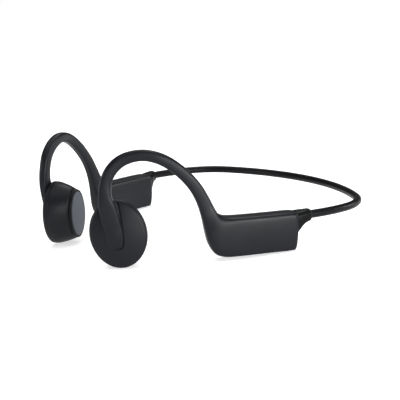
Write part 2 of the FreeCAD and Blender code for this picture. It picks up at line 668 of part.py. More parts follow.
def make_pod(tongue):
    parts = {}
    skirt = -dim("cover_skirt")
    dome_top = dim("dome_rise")
    slab = oval_loft("dome_slab", ("pod_long", "pod_short", skirt), ("pod_long", "pod_short", dome_top))
    doc.recompute()
    out = pod_place().Rotation.multVec(Vec(0, 0, 1))
    centre = pod_place().Base

    def on_top(edge):
        middle = edge.BoundBox.Center - centre
        return abs(middle.dot(out) - dome_top) < 0.2 and edge.isClosed()

    dome = rounded("dome_form", slab, dim("dome_round"), on_top)
    inside = oval_loft("cover_inside", ("pod_long - cover_wall", "pod_short - cover_wall", skirt - 0.1),
                       ("pod_long - cover_wall - 1.2", "pod_short - cover_wall - 1.2",
                        dim("cushion_top")))
    parts["pod_cover"] = cut("cover_shape", dome, inside, tongue)

    shell_top = skirt - dim("gasket_thick")
    shell_low = -dim("shell_depth")
    gasket_form = oval_loft("gasket_form", ("pod_long - 0.5", "pod_short - 0.5", shell_top),
                            ("pod_long - 0.5", "pod_short - 0.5", skirt))
    gasket_hole = oval_loft("gasket_hole", ("pod_long - 1.5", "pod_short - 1.5", shell_top),
                            ("pod_long - 1.5", "pod_short - 1.5", skirt))
    parts["pod_gasket"] = cut("gasket_shape", gasket_form, gasket_hole)
    middle = (shell_top + shell_low) / 2
    form = oval_loft("shell_form", ("pod_long", "pod_short", shell_top),
                     ("pod_long - 1.4", "pod_short - 1.7", middle),
                     ("bezel_long", "bezel_short", shell_low))
    room = oval_loft("shell_room",
                     ("pod_long - shell_wall", "pod_short - shell_wall", shell_top + 0.01),
                     ("pod_long - 1.4 - shell_wall", "pod_short - 1.7 - shell_wall", middle),
                     ("pad_long + 0.1", "pad_short + 0.1", shell_low - 0.01))
    parts["pod_shell"] = cut("shell_shape", form, room)

    bezel_low = shell_low - dim("bezel_depth")
    bezel_form = oval_loft("bezel_form", ("bezel_long", "bezel_short", shell_low),
                           ("bezel_long - 0.3", "bezel_short - 0.3", bezel_low))
    bezel_hole = oval_loft("bezel_hole", ("pad_long + 0.1", "pad_short + 0.1", shell_low + 0.1),
                           ("pad_long + 0.1", "pad_short + 0.1", bezel_low - 0.1))
    parts["pod_bezel"] = cut("bezel_shape", bezel_form, bezel_hole)

    cushion_low = dim("cushion_top") - dim("cushion_depth")
    carrier_level = make_driver(parts, floor_level=cushion_low)
    parts["skin_pad"] = oval_loft("skin_pad_shape", ("pad_long", "pad_short", carrier_level),
                                  ("pad_long", "pad_short", bezel_low + 0.3),
                                  ("pad_long - 0.5", "pad_short - 0.5", bezel_low - dim("pad_proud")))
    parts["driver_cushion"] = disc("cushion_shape", pod_place(), "cushion_radius", "cushion_depth",
                                   Vec(0, 0, cushion_low))
    return parts


# ---------------------------------------------------------------- assembly

def mirrored(name, source):
    mirror = doc.addObject("Part::Mirroring", name)
    mirror.Source = source
    mirror.Base = Vec(0, 0, 0)
    mirror.Normal = Vec(1, 0, 0)
    return keep(name, mirror)


def make_arms():
    form = sleeve_form()
    wire = tube("hook_wire_shape", hook_route(-dim("core_spacing")), "wire_thick")
    lead = tube("hook_lead_shape", hook_route(dim("core_spacing")), "lead_thick")
    controls, openings = make_controls()
    for name, thing in controls.items():
        mirrored(name, thing)
    for name, thing in make_power().items():
        keep(name, thing)

    cap, grommet = make_cap()
    shared = {"hook_wire": wire, "hook_lead": lead, "end_cap": cap, "cap_grommet": grommet}
    shared.update(make_pod(form))
    for side, tools in (("left", []), ("right", openings)):
        base, lid, screws = make_case(side + "_", tools)
        sleeve = cut(side + "_sleeve_shape", form, case_form(side + "_room"), wire, lead, *tools)
        own = {"arm_sleeve": sleeve, "case_base": base, "case_lid": lid, "case_screws": screws}
        own.update(shared)
        for name, thing in own.items():
            if side == "right":
                mirrored("right_" + name, thing)
            else:
                pieces["left_" + name] = thing
    doc.recompute()
    for name, thing in pieces.items():
        if thing.Label != name:
            thing.Label = name


def check_document():
    """Stop if any object failed to recompute or any piece isn't a sound solid."""
    for thing in doc.Objects:
        if {"Invalid", "Error"} & set(thing.State):
            raise RuntimeError(f"{thing.Name} ({thing.Label}) is {thing.State}")
    for name, thing in pieces.items():
        shape = thing.Shape
        if shape.isNull() or not shape.isValid() or not shape.Solids or shape.Volume <= 0:
            raise RuntimeError(f"{name} has no sound solid")


def write_pieces():
    os.makedirs("parts", exist_ok=True)
    for name, thing in pieces.items():
        thing.Shape.exportStep(os.path.join("parts", name + ".step"))
        print(f"{name:24s} {thing.Shape.Volume:10.2f} mm3")


fill_sheet()
make_neckband()
make_arms()
check_document()
write_pieces()
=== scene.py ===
"""Looks of the bone conduction headphones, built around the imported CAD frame.

The frame is in metres, +Z up, and the pieces here are made in millimetres and scaled at the end.
A place on an arm is (along, out, up) on the arm's plan arc, as in the CAD source. Each piece is
made for the wearer's left (+X) and mirrored for the right.
"""
import json
import math

import bmesh
import bpy
from mathutils import Matrix, Vector


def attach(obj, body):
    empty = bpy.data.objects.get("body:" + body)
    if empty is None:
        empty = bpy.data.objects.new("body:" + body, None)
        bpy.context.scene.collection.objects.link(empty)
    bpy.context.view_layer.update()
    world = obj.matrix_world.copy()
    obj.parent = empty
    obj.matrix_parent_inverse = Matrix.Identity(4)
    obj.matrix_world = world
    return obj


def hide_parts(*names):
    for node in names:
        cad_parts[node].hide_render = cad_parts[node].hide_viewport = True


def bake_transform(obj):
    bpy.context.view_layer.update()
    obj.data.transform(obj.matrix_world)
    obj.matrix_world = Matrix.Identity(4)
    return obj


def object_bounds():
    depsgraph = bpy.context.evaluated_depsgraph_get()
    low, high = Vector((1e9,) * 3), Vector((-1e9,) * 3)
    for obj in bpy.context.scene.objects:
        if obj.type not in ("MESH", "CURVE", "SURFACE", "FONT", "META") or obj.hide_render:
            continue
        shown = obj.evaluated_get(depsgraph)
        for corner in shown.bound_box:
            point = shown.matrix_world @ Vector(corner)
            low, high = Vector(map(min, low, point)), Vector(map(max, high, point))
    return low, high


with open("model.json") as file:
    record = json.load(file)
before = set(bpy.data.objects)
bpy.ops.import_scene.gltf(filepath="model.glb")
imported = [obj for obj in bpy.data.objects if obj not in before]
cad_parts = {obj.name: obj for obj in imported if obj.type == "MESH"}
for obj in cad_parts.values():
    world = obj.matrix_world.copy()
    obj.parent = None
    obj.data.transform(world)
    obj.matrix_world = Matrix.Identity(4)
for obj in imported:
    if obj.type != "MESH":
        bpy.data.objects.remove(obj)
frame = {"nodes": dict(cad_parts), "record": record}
cad_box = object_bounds()

MM = 0.001
UP = Vector((0, 0, 1))

# ---------------------------------------------------------------- sizes, in millimetres

SEAM_ACROSS, SEAM_BACK, ARM_RADIUS, ARM_TOE = 62.0, 10.74, 260.0, math.radians(14.0)
HOUSING_PITCH, HEEL_ALONG, CASE_MIDDLE = math.radians(2.4), 3.0, 17.4
# the part of the sleeve up to here stands on the housing's flat underside
UNDERSIDE_REACH = 45.0

# points round a ring, and length along a piece between its rings
SLEEVE_AROUND, SLEEVE_STEP = 112, 0.55
CAP_AROUND, CAP_STEP = 64, 0.3
BAND_AROUND, BAND_STEP = 40, 0.8
OVAL_AROUND, DOME_AROUND = 96, 240

# along, up of the middle, lean back in degrees, height, thickness, squareness, crown of the broad
# faces, out of the arc
SLEEVE_ROWS = [
    (2.15, 7.75, 7.0, 16.3, 9.2, 6.0, 0.45, 0.0),
    (2.75, 7.8, 6.4, 16.8, 9.7, 9.0, 0.5, 0.0),
    (5.0, 7.95, 3.0, 17.0, 9.9, 13.0, 0.55, 0.0),
    (12.5, 8.35, 0.0, 17.1, 9.9, 13.0, 0.6, 0.0),
    (22.0, 8.8, 0.0, 17.2, 9.9, 13.0, 0.6, 0.0),
    (28.0, 9.1, 1.5, 17.3, 9.9, 12.0, 0.6, 0.0),
    (33.0, 9.65, 9.0, 17.25, 9.7, 9.0, 0.6, 0.0),
    (36.1, 10.8, 15.0, 16.6, 9.2, 7.0, 0.55, 0.0),
    (38.2, 13.6, 21.0, 14.0, 8.0, 6.0, 0.5, 0.0),
    (39.35, 17.5, 28.5, 10.7, 6.5, 5.5, 0.45, 0.0),
    (40.1, 20.9, 38.0, 8.1, 5.4, 5.0, 0.4, 0.0),
    (41.4, 25.6, 50.0, 6.2, 4.7, 5.0, 0.38, 0.0),
    (44.4, 32.3, 56.0, 5.35, 4.2, 5.0, 0.35, 0.0),
    (50.5, 40.0, 46.0, 5.05, 4.15, 5.0, 0.35, -0.2),
    (57.8, 45.5, 29.0, 4.85, 4.15, 5.0, 0.35, -0.6),
    (65.6, 47.6, 5.0, 4.7, 4.15, 5.0, 0.35, -1.7),
    (73.8, 46.0, -32.0, 5.05, 4.15, 5.0, 0.35, -2.5),
    (78.9, 41.9, -62.0, 5.2, 4.15, 5.0, 0.35, -2.4),
    (81.5, 36.7, -86.0, 5.15, 4.15, 5.0, 0.35, -2.2),
]
# the sleeve's rear end is closed by rings of this share of its outline, set back by this much
SLEEVE_REAR, SLEEVE_REAR_ALONG = ((0.90, 0.34), (0.955, 0.28)), 2.0
# the same columns as SLEEVE_ROWS
CAP_ROWS = [
    (2.05, 10.75, 6.0, 10.5, 8.7, 4.6, 0.0, 0.0),
    (1.2, 11.45, 5.6, 9.3, 8.6, 4.4, 0.0, 0.1),
    (0.1, 12.2, 4.6, 7.9, 8.3, 4.0, 0.0, 0.35),
    (-1.2, 12.95, 3.0, 6.7, 7.5, 3.5, 0.0, 0.6),
    (-2.4, 13.4, 1.6, 5.95, 6.8, 3.1, 0.0, 0.85),
    (-3.6, 13.66, 0.0, 5.6, 6.1, 2.8, 0.0, 1.0),
    (-4.35, 13.76, 0.0, 5.5, 5.8, 2.6, 0.0, 1.06),
    (-4.8, 13.8, 0.0, 5.35, 5.65, 2.6, 0.0, 1.1),
    (-5.0, 13.82, 0.0, 4.9, 5.2, 2.6, 0.0, 1.1),
]
# share of the collar's outline round the neckband, and how deep that ring lies in the collar
CAP_MOUTH, CAP_MOUTH_DEPTH = 0.9, 0.25

# openings: length, width, lowest and highest level of the cutter
BUTTON_OPENING, PIN_OPENING = (5.9, 3.3, -1.0, 1.6), (1.21, 1.2, -1.0, 1.6)
PORT_OPENING = (9.6, 4.8, -0.1, 3.0)
FIRST_BUTTON, BUTTON_SPACING = 8.2, 7.6
LIGHT_SPOT, MICROPHONE_SPOT, PORT_SPOT = (28.9, -1.2, 0), (28.9, 1.6, 0), (9.0, 3.6, 9.0)

POD_CENTRE = Vector((29.5, -59.71, 14.7))
POD_YAW, POD_PITCH, POD_TILT = math.radians(39.0), math.radians(5.2), math.radians(11.0)
POD_LONG, POD_SHORT = 14.7, 12.25
# rearward, up, out in the pod's frame, width, thickness, squareness, crown
TONGUE_ROWS = [
    (-4.9, 16.7, 2.55, 5.7, 4.05, 5.0, 0.3),
    (-4.3, 13.2, 2.5, 6.9, 3.9, 5.5, 0.3),
    (-3.2, 8.3, 2.2, 7.7, 3.4, 6.5, 0.3),
    (-1.9, 2.3, 1.8, 7.4, 2.95, 7.0, 0.35),
    (-1.1, -1.6, 1.6, 7.0, 2.6, 7.0, 0.35),
    (-0.8, -3.4, 1.45, 6.6, 2.35, 7.0, 0.35),
    (-0.6, -4.9, 1.25, 5.6, 2.05, 5.0, 0.3),
]
TONGUE_TILT = math.radians(4.0)

# the cover's underside, where its lower edge is fully round, and where its dome starts
COVER_UNDER, COVER_ROUNDED, COVER_EDGE = -1.3, -1.1, -0.2
COVER_WALL, COVER_LIP, COVER_LIP_STEPS = 1.7, 0.12, 4
DOME_EDGE, DOME_INSET, DOME_CROWN = 1.5, 2.1, 1.45
DOME_EDGE_TURN, DOME_EDGE_STEPS, DOME_STEPS = math.radians(73.0), 14, 60
# only points of the cover above this level take the groove
GROOVE_LEVEL, GROOVE_END, GROOVE_GAP, GROOVE_WIDTH, GROOVE_STEP = 0.9, -2.6, 0.1, 0.26, 0.25
GROOVE_FAINT, GROOVE_DEEPER, GROOVE_FADE, GROOVE_FADE_LENGTH = 0.05, 0.62, 1.2, 3.2

# level, inset from the pod's outline
GASKET_ROWS = [(-1.6, 1.6), (-1.6, 0.2), (-1.2, 0.2), (-1.2, 1.6), (-1.6, 1.6)]
SHELL_SEAM_ROWS = [(-1.5, 1.4), (-1.5, 0.12), (-1.58, 0.03), (-1.9, 0.02)]
SHELL_TOP, SHELL_TAPER, SHELL_LONG, SHELL_SHORT = -1.9, 8.25, 12.0, 8.62
SHELL_STRAIGHT, SHELL_STEPS = 0.62, 15
# level, long radius, short radius
SHELL_MOUTH_ROWS = [(-10.2, 11.9, 8.54), (-10.28, 11.7, 8.3), (-10.28, 10.8, 7.4), (-9.9, 10.8, 7.4)]
BEZEL_ROWS = [
    (-10.3, 10.75, 7.35), (-10.34, 11.6, 8.2), (-10.45, 11.74, 8.34), (-11.0, 11.66, 8.24),
    (-11.4, 11.56, 8.14), (-11.6, 11.42, 8.0), (-11.7, 11.22, 7.82), (-11.72, 11.0, 7.6),
    (-11.62, 10.82, 7.42), (-11.3, 10.74, 7.34), (-10.3, 10.75, 7.35),
]
PAD_LONG, PAD_SHORT, PAD_CROWN, PAD_STEPS, PAD_EDGE_STEPS = 10.6, 7.2, 0.12, 10, 6
# level, inset from the pad's outline, and the ends of its rounded edge
PAD_SIDE_ROWS = [(-10.7, 0.6), (-10.7, 0.1), (-11.2, 0.0), (-11.55, 0.0)]
PAD_EDGE_START, PAD_EDGE_END = (-11.55, 0.0), (-12.0, 0.55)

BAND_ACROSS, BAND_BACK, BAND_HEIGHT = 64.6, 16.39, 13.8
BAND_PITCH, BAND_SPLAY = math.radians(3.0), math.radians(7.7)
# distances of the points inside the cap, then radius and turn of each arc
BAND_INSIDE = (4.4, 2.2)
BAND_ARCS = ((60.6, math.radians(20.2)), (26.9, math.radians(48.7)))
# piece, look, CAD node, diameter, height over the band's middle
BAND_RODS = (
    ("tube", "band_silicone", "neckband_sleeve", 3.6, 0.0),
    ("wire", "titanium", "neckband_wire", 1.1, 0.65),
    ("lead", "lead_jacket", "neckband_lead", 0.9, -0.65),
)


# ---------------------------------------------------------------- frames

def arm_axes(along):
    """Outward and forward directions of the arm's arc."""
    angle = ARM_TOE + along / ARM_RADIUS
    outward = Vector((math.cos(angle), -math.sin(angle), 0))
    forward = Vector((-math.sin(angle), -math.cos(angle), 0))
    return outward, forward


def arm_point(along, out, up):
    centre = Vector((SEAM_ACROSS - ARM_RADIUS * math.cos(ARM_TOE),
                     SEAM_BACK + ARM_RADIUS * math.sin(ARM_TOE), 0))
    outward, _ = arm_axes(along)
    return centre + outward * (ARM_RADIUS + out) + UP * up


def housing_matrix(along, out, up):
    """Frame on the housing's flat underside: +X forward, +Y out, +Z its normal."""
    outward, forward = arm_axes(CASE_MIDDLE)
    rise = math.tan(HOUSING_PITCH) * (CASE_MIDDLE - HEEL_ALONG)
    ahead = forward * math.cos(HOUSING_PITCH) + UP * math.sin(HOUSING_PITCH)
    normal = UP * math.cos(HOUSING_PITCH) - forward * math.sin(HOUSING_PITCH)
    turn = Matrix((ahead, outward, normal)).transposed().to_4x4()
    spot = arm_point(CASE_MIDDLE, 0, rise) + ahead * (along - CASE_MIDDLE) + outward * out + normal * up
    return Matrix.Translation(spot) @ turn


def pod_matrix():
    """Pod frame: +X rearward, +Y up, +Z out of the outer face."""
    turn = (Matrix.Rotation(-POD_PITCH, 4, "X") @ Matrix.Rotation(math.pi / 2 - POD_YAW, 4, "Z")
            @ Matrix.Rotation(math.pi / 2, 4, "X"))
    return Matrix.Translation(POD_CENTRE) @ turn


POD = pod_matrix()


# ---------------------------------------------------------------- outlines

def even_angles(count):
    return [2 * math.pi * i / count for i in range(count)]


def outline_point(angle, tall, wide, squareness, crown):
    """Point of a rounded outline with half sizes tall and wide, whose broad faces bulge by crown."""
    c, t = math.cos(angle), math.sin(angle)
    low, high = 0.0, 2 * max(tall, wide)
    halvings, least = 22, 0.2
    for _ in range(halvings):
        reach = (low + high) / 2
        u, v = abs(reach * c), abs(reach * t)
        side = max(wide - crown * (u / tall) ** 2, least * wide)
        top = max(tall - 0.5 * crown * (v / wide) ** 2, least * tall)
        if (u / top) ** squareness + (v / side) ** squareness < 1:
            low = reach
        else:
            high = reach
    return reach * c, reach * t


def smooth_rows(rows, step):
    """Centripetal Catmull-Rom interpolation of equal-length tuples that start with a place, about
    one row for each step of length."""
    tiny = 1e-5
    made = []
    for i in range(len(rows) - 1):
        a = rows[max(i - 1, 0)]
        b, c = rows[i], rows[i + 1]
        d = rows[min(i + 2, len(rows) - 1)]
        gap = [math.dist(p[:3], q[:3]) ** 0.5 or tiny / 10 for p, q in ((a, b), (b, c), (c, d))]
        t0, t1 = 0.0, gap[0]
        t2 = t1 + gap[1]
        t3 = t2 + gap[2]
        count = max(2, round(math.dist(b[:3], c[:3]) / step))
        for k in range(count):
            t = t1 + (t2 - t1) * k / count
            row = []
            for pa, pb, pc, pd in zip(a, b, c, d):
                a1 = pb if t1 - t0 < tiny else (t1 - t) / (t1 - t0) * pa + (t - t0) / (t1 - t0) * pb
                a2 = (t2 - t) / (t2 - t1) * pb + (t - t1) / (t2 - t1) * pc
                a3 = pc if t3 - t2 < tiny else (t3 - t) / (t3 - t2) * pc + (t - t2) / (t3 - t2) * pd
                b1 = (t2 - t) / (t2 - t0) * a1 + (t - t0) / (t2 - t0) * a2
                b2 = (t3 - t) / (t3 - t1) * a2 + (t - t1) / (t3 - t1) * a3
                row.append((t2 - t) / (t2 - t1) * b1 + (t - t1) / (t2 - t1) * b2)
            made.append(tuple(row))
    made.append(tuple(rows[-1]))
    return made


def ring_points(centre, tall, across, height, thick, squareness, crown, count):
    """Outline about centre, evened out by length so that square corners stay crisp."""
    finer = 4
    raw = [outline_point(a, height / 2, thick / 2, squareness, crown) for a in even_angles(count * finer)]
    closed = raw + raw[:1]
    lengths = [0.0]
    for p, q in zip(closed, closed[1:]):
        lengths.append(lengths[-1] + math.dist(p, q))
    points, j = [], 0
    for i in range(count):
        want = lengths[-1] * i / count
        while lengths[j + 1] < want:
            j += 1
        share = (want - lengths[j]) / (lengths[j + 1] - lengths[j])
        u = closed[j][0] + (closed[j + 1][0] - closed[j][0]) * share
        v = closed[j][1] + (closed[j + 1][1] - closed[j][1]) * share
        points.append(centre + tall * u + across * v)
    return points


def arm_sections(rows):
    """Rows of an arm as centre, tall axis, outward axis and the sizes of the outline."""
    placed = []
    for along, up, lean, height, thick, square, crown, out in rows:
        outward, forward = arm_axes(along)
        angle = math.radians(lean)
        tall = UP * math.cos(angle) - forward * math.sin(angle)
        placed.append((*arm_point(along, out, up), *tall, *outward, height, thick, square, crown))
    return placed


def swept_rings(sections, step, count):
    """Rings through smoothed sections."""
    rings = []
    for row in smooth_rows(sections, step):
        centre, tall, across = Vector(row[0:3]), Vector(row[3:6]).normalized(), Vector(row[6:9])
        across = (across - tall * across.dot(tall)).normalized()
        rings.append(ring_points(centre, tall, across, *row[9:13], count))
    return rings


def shrunk_ring(ring, share, shift):
    """Copy of a ring drawn in towards its middle and shifted."""
    middle = sum(ring, Vector()) / len(ring)
    return [middle + (p - middle) * share + shift for p in ring]


def oval_ring(level, long_radius, short_radius, count):
    """Level oval in the pod's frame, its long axis leaning by the pod's tilt."""
    ring = []
    lean = math.pi / 2 + POD_TILT
    for a in even_angles(count):
        u, v = long_radius * math.cos(a), short_radius * math.sin(a)
        local = Vector((u * math.cos(lean) - v * math.sin(lean),
                        u * math.sin(lean) + v * math.cos(lean), level))
        ring.append(POD @ local)
    return ring


def inset_rows(rows, long_radius, short_radius):
    """(level, inset) rows as (level, long radius, short radius)."""
    return [(level, long_radius - inset, short_radius - inset) for level, inset in rows]


def quarter_round(start, finish, steps, level_first):
    """Quarter-round between two (level, inset) rows, which leaves the first along its level or,
    when level_first is false, along its inset."""
    made = []
    for i in range(steps + 1):
        t = math.pi / 2 * i / steps
        early, late = math.sin(t), 1 - math.cos(t)
        rise, draw = (early, late) if level_first else (late, early)
        made.append((start[0] + (finish[0] - start[0]) * rise, start[1] + (finish[1] - start[1]) * draw))
    return made


# ---------------------------------------------------------------- meshes

def skin(bm, rings, closed_start=True, closed_end=True):
    """Quads between rings of points, with a fan over each closed end."""
    loops = [[bm.verts.new(p) for p in ring] for ring in rings]
    count = len(loops[0])
    for near, far in zip(loops, loops[1:]):
        for i in range(count):
            j = (i + 1) % count
            bm.faces.new((near[i], near[j], far[j], far[i]))
    for loop, closed in ((loops[0], closed_start), (loops[-1], closed_end)):
        if closed:
            middle = bm.verts.new(sum((v.co for v in loop), Vector()) / count)
            for i in range(count):
                bm.faces.new((loop[i], loop[(i + 1) % count], middle))


def mesh_piece(name, bm, side):
    """Object in metres from a bmesh in millimetres; side -1 mirrors it in the X = 0 plane."""
    for vert in bm.verts:
        vert.co = Vector((vert.co.x * side, vert.co.y, vert.co.z)) * MM
    bmesh.ops.remove_doubles(bm, verts=bm.verts, dist=1e-7)
    bmesh.ops.recalc_face_normals(bm, faces=bm.faces)
    for face in bm.faces:
        face.smooth = True
    mesh = bpy.data.meshes.new(name)
    bm.to_mesh(mesh)
    bm.free()
    piece = bpy.data.objects.new(name, mesh)
    bpy.context.scene.collection.objects.link(piece)
    return piece


def skinned_piece(name, side, rings, closed_start=True, closed_end=True):
    bm = bmesh.new()
    skin(bm, rings, closed_start, closed_end)
    return mesh_piece(name, bm, side)


# ---------------------------------------------------------------- sleeve and cap

def tongue_sections():
    """Rows of the tongue in the same form as arm_sections."""
    turn = POD.to_3x3() @ Matrix.Rotation(TONGUE_TILT, 3, "Y")
    return [(*(POD @ Vector((rear, up, out))), *(turn @ Vector((-1, 0, 0))), *(turn @ Vector((0, 0, 1))),
             width, thick, square, crown)
            for rear, up, out, width, thick, square, crown in TONGUE_ROWS]


def flatten_underside(rings):
    """Press what lies below the housing's tilted underside onto it."""
    place = housing_matrix(0, 0, 0)
    to_housing, normal = place.inverted(), place.to_3x3() @ UP
    for ring in rings:
        for point in ring:
            local = to_housing @ point
            if local.x < UNDERSIDE_REACH and local.z < 0.0:
                point -= normal * local.z


def pill_cutter(place, length, width, low, high):
    """Closed pill in a frame's XY plane between two heights."""
    steps = 10
    reach, half = (length - width) / 2, width / 2
    rim = [(reach + half * math.cos(a), half * math.sin(a))
           for a in (math.pi * (i / steps - 0.5) for i in range(steps + 1))]
    rim += [(-x, -y) for x, y in rim]
    bm = bmesh.new()
    skin(bm, [[place @ Vector((x, y, level)) for x, y in rim] for level in (low, high)])
    return bm


def open_sleeve(sleeve, side):
    """Cut the openings for the buttons, charging port, light and microphone."""
    port = housing_matrix(*PORT_SPOT) @ Matrix.Rotation(-math.pi / 2, 4, "X")
    cutters = [pill_cutter(housing_matrix(FIRST_BUTTON + BUTTON_SPACING * i, 0, 0), *BUTTON_OPENING)
               for i in range(3)]
    cutters.append(pill_cutter(port, *PORT_OPENING))
    cutters += [pill_cutter(housing_matrix(*spot), *PIN_OPENING) for spot in (LIGHT_SPOT, MICROPHONE_SPOT)]
    for bm in cutters:
        tool = mesh_piece("cutter", bm, side)
        modifier = sleeve.modifiers.new("opening", "BOOLEAN")
        modifier.operation, modifier.object, modifier.solver = "DIFFERENCE", tool, "EXACT"
        graph = bpy.context.evaluated_depsgraph_get()
        made = bpy.data.meshes.new_from_object(sleeve.evaluated_get(graph))
        sleeve.modifiers.clear()
        sleeve.data = made
        bpy.data.objects.remove(tool)


def make_sleeve(name, side):
    """Skin of the housing, ear hook and tongue; the wearer's right one has the openings."""
    rings = swept_rings(arm_sections(SLEEVE_ROWS) + tongue_sections(), SLEEVE_STEP, SLEEVE_AROUND)
    flatten_underside(rings)
    _, forward = arm_axes(SLEEVE_REAR_ALONG)
    rear = [shrunk_ring(rings[0], share, forward * -depth) for share, depth in SLEEVE_REAR]
    sleeve = skinned_piece(name, side, rear + rings)
    if side == -1:
        open_sleeve(sleeve, side)
    return sleeve


def make_cap(name, side):
    """Rear cap that narrows to the collar round the neckband."""
    rings = swept_rings(arm_sections(CAP_ROWS), CAP_STEP, CAP_AROUND)
    _, forward = arm_axes(CAP_ROWS[-1][0])
    rings.append(shrunk_ring(rings[-1], CAP_MOUTH, forward * CAP_MOUTH_DEPTH))
    return skinned_piece(name, side, rings)


# ---------------------------------------------------------------- pod

def oval_piece(name, side, rows, closed_start=False, closed_end=False):
    """Piece through level ovals given as (level, long radius, short radius)."""
    return skinned_piece(name, side, [oval_ring(*row, OVAL_AROUND) for row in rows], closed_start, closed_end)


def tongue_outline():
    """Middles and half widths along the tongue's flush part, in the pod's plane."""
    rows = [(rear, up, 0.0, width / 2) for rear, up, _, width, *_ in TONGUE_ROWS]
    return [(row[0], row[1], row[3]) for row in smooth_rows(rows, GROOVE_STEP) if row[1] > GROOVE_END]


def groove_depth(rear, up, outline):
    """Depth of the parting groove behind and below the tongue; it fades towards its front."""
    gap, side = min((((rear - x) ** 4 + (up - y) ** 4) ** 0.25 - half, rear - x) for x, y, half in outline)
    behind = min(max((side + GROOVE_FADE) / GROOVE_FADE_LENGTH, 0.0), 1.0)
    depth = GROOVE_FAINT + GROOVE_DEEPER * behind
    return depth * math.exp(-((gap - GROOVE_GAP) / GROOVE_WIDTH) ** 2)


def make_cover(name, side):
    """Domed outer cover of the pod, crowned towards its middle, open underneath, with a groove
    where the tongue is let into it."""
    rows = [(COVER_UNDER, COVER_WALL), (COVER_UNDER, COVER_LIP)]
    rows += quarter_round((COVER_UNDER, COVER_LIP), (COVER_ROUNDED, 0.0), COVER_LIP_STEPS, False)
    for i in range(DOME_EDGE_STEPS + 1):
        turn = DOME_EDGE_TURN * i / DOME_EDGE_STEPS
        rows.append((COVER_EDGE + DOME_EDGE * math.sin(turn), DOME_INSET * (1 - math.cos(turn))))
    rows = inset_rows(rows, POD_LONG, POD_SHORT)
    level, long_radius, short_radius = rows[-1]
    for i in range(1, DOME_STEPS):
        left = 1 - i / DOME_STEPS
        rows.append((level + DOME_CROWN * (1 - left ** 2), long_radius * left, short_radius * left))
    bm = bmesh.new()
    skin(bm, [oval_ring(*row, DOME_AROUND) for row in rows], closed_start=False)
    to_pod, out = POD.inverted(), POD.to_3x3() @ Vector((0, 0, 1))
    outline = tongue_outline()
    for vert in bm.verts:
        local = to_pod @ vert.co
        if local.z > GROOVE_LEVEL:
            vert.co -= out * groove_depth(local.x, local.y, outline)
    return mesh_piece(name, bm, side)


def make_gasket(name, side):
    return oval_piece(name, side, inset_rows(GASKET_ROWS, POD_LONG, POD_SHORT))


def make_shell(name, side):
    """Tapered shell between the cover and the bezel."""
    rows = inset_rows(SHELL_SEAM_ROWS, POD_LONG, POD_SHORT)
    for i in range(1, SHELL_STEPS):
        t = i / SHELL_STEPS
        ease = t * (SHELL_STRAIGHT + (1 - SHELL_STRAIGHT) * t)
        rows.append((SHELL_TOP - SHELL_TAPER * t, POD_LONG + (SHELL_LONG - POD_LONG) * ease,
                     POD_SHORT + (SHELL_SHORT - POD_SHORT) * ease))
    return oval_piece(name, side, rows + SHELL_MOUTH_ROWS)


def make_bezel(name, side):
    return oval_piece(name, side, BEZEL_ROWS)


def make_pad(name, side):
    """Soft skin pad: nearly flat, crowned a little, with a rounded edge."""
    edge = quarter_round(PAD_EDGE_START, PAD_EDGE_END, PAD_EDGE_STEPS, True)
    rows = inset_rows(PAD_SIDE_ROWS + edge, PAD_LONG, PAD_SHORT)
    level, long_radius, short_radius = rows[-1]
    for i in range(1, PAD_STEPS):
        share = i / PAD_STEPS
        rows.append((level - PAD_CROWN * math.sin(math.pi / 2 * share),
                     long_radius * (1 - share), short_radius * (1 - share)))
    return oval_piece(name, side, rows, True, True)


# ---------------------------------------------------------------- neckband

def band_line():
    """Points of the left half of the neckband, from inside its cap to the middle of the back."""
    spot, heading = Vector((BAND_ACROSS, 0, 0)), BAND_SPLAY
    points = [spot - Vector((math.sin(heading), math.cos(heading), 0)) * d for d in BAND_INSIDE]
    for radius, turn in BAND_ARCS:
        left = Vector((-math.cos(heading), math.sin(heading), 0))
        centre = spot + left * radius
        count = round(radius * turn / BAND_STEP)
        for i in range(count):
            points.append(centre - Matrix.Rotation(turn * i / count, 3, "Z") @ left * radius)
        spot = centre - Matrix.Rotation(turn, 3, "Z") @ left * radius
        heading -= turn
    last = math.pi / 2 + heading
    radius = spot.x / math.cos(-heading)
    centre = Vector((0, spot.y - radius * math.sin(-heading), 0))
    count = round(radius * last / BAND_STEP)
    for i in range(count + 1):
        angle = -heading + last * i / count
        points.append(centre + Vector((math.cos(angle), math.sin(angle), 0)) * radius)
    place = Matrix.Translation((0, BAND_BACK, BAND_HEIGHT)) @ Matrix.Rotation(-BAND_PITCH, 4, "X")
    return [place @ p for p in points]


def make_band_half(name, side, diameter, height):
    """Half of a rod along the neckband, its middle raised by height across the band's plane."""
    points = band_line()
    normal = Matrix.Rotation(-BAND_PITCH, 3, "X") @ UP
    rings = []
    for i, point in enumerate(points):
        before, after = points[max(i - 1, 0)], points[min(i + 1, len(points) - 1)]
        run = (after - before).normalized()
        if i == len(points) - 1:
            run = Vector((-1, 0, 0))
        across = run.cross(normal).normalized()
        rings.append([point + normal * height
                      + (across * math.cos(a) + normal * math.sin(a)) * diameter / 2
                      for a in even_angles(BAND_AROUND)])
    return skinned_piece(name, side, rings, True, False)


# ---------------------------------------------------------------- materials

def new_material(name):
    material = bpy.data.materials.new(name)
    material.use_nodes = True
    tree = material.node_tree
    return material, tree.nodes, tree.links, tree.nodes["Principled BSDF"]


def remap(nodes, links, source, start, end, low, high):
    """Output that takes source from start..end to low..high."""
    node = nodes.new("ShaderNodeMapRange")
    node.inputs["From Min"].default_value, node.inputs["From Max"].default_value = start, end
    node.inputs["To Min"].default_value, node.inputs["To Max"].default_value = low, high
    links.new(source, node.inputs["Value"])
    return node.outputs["Result"]


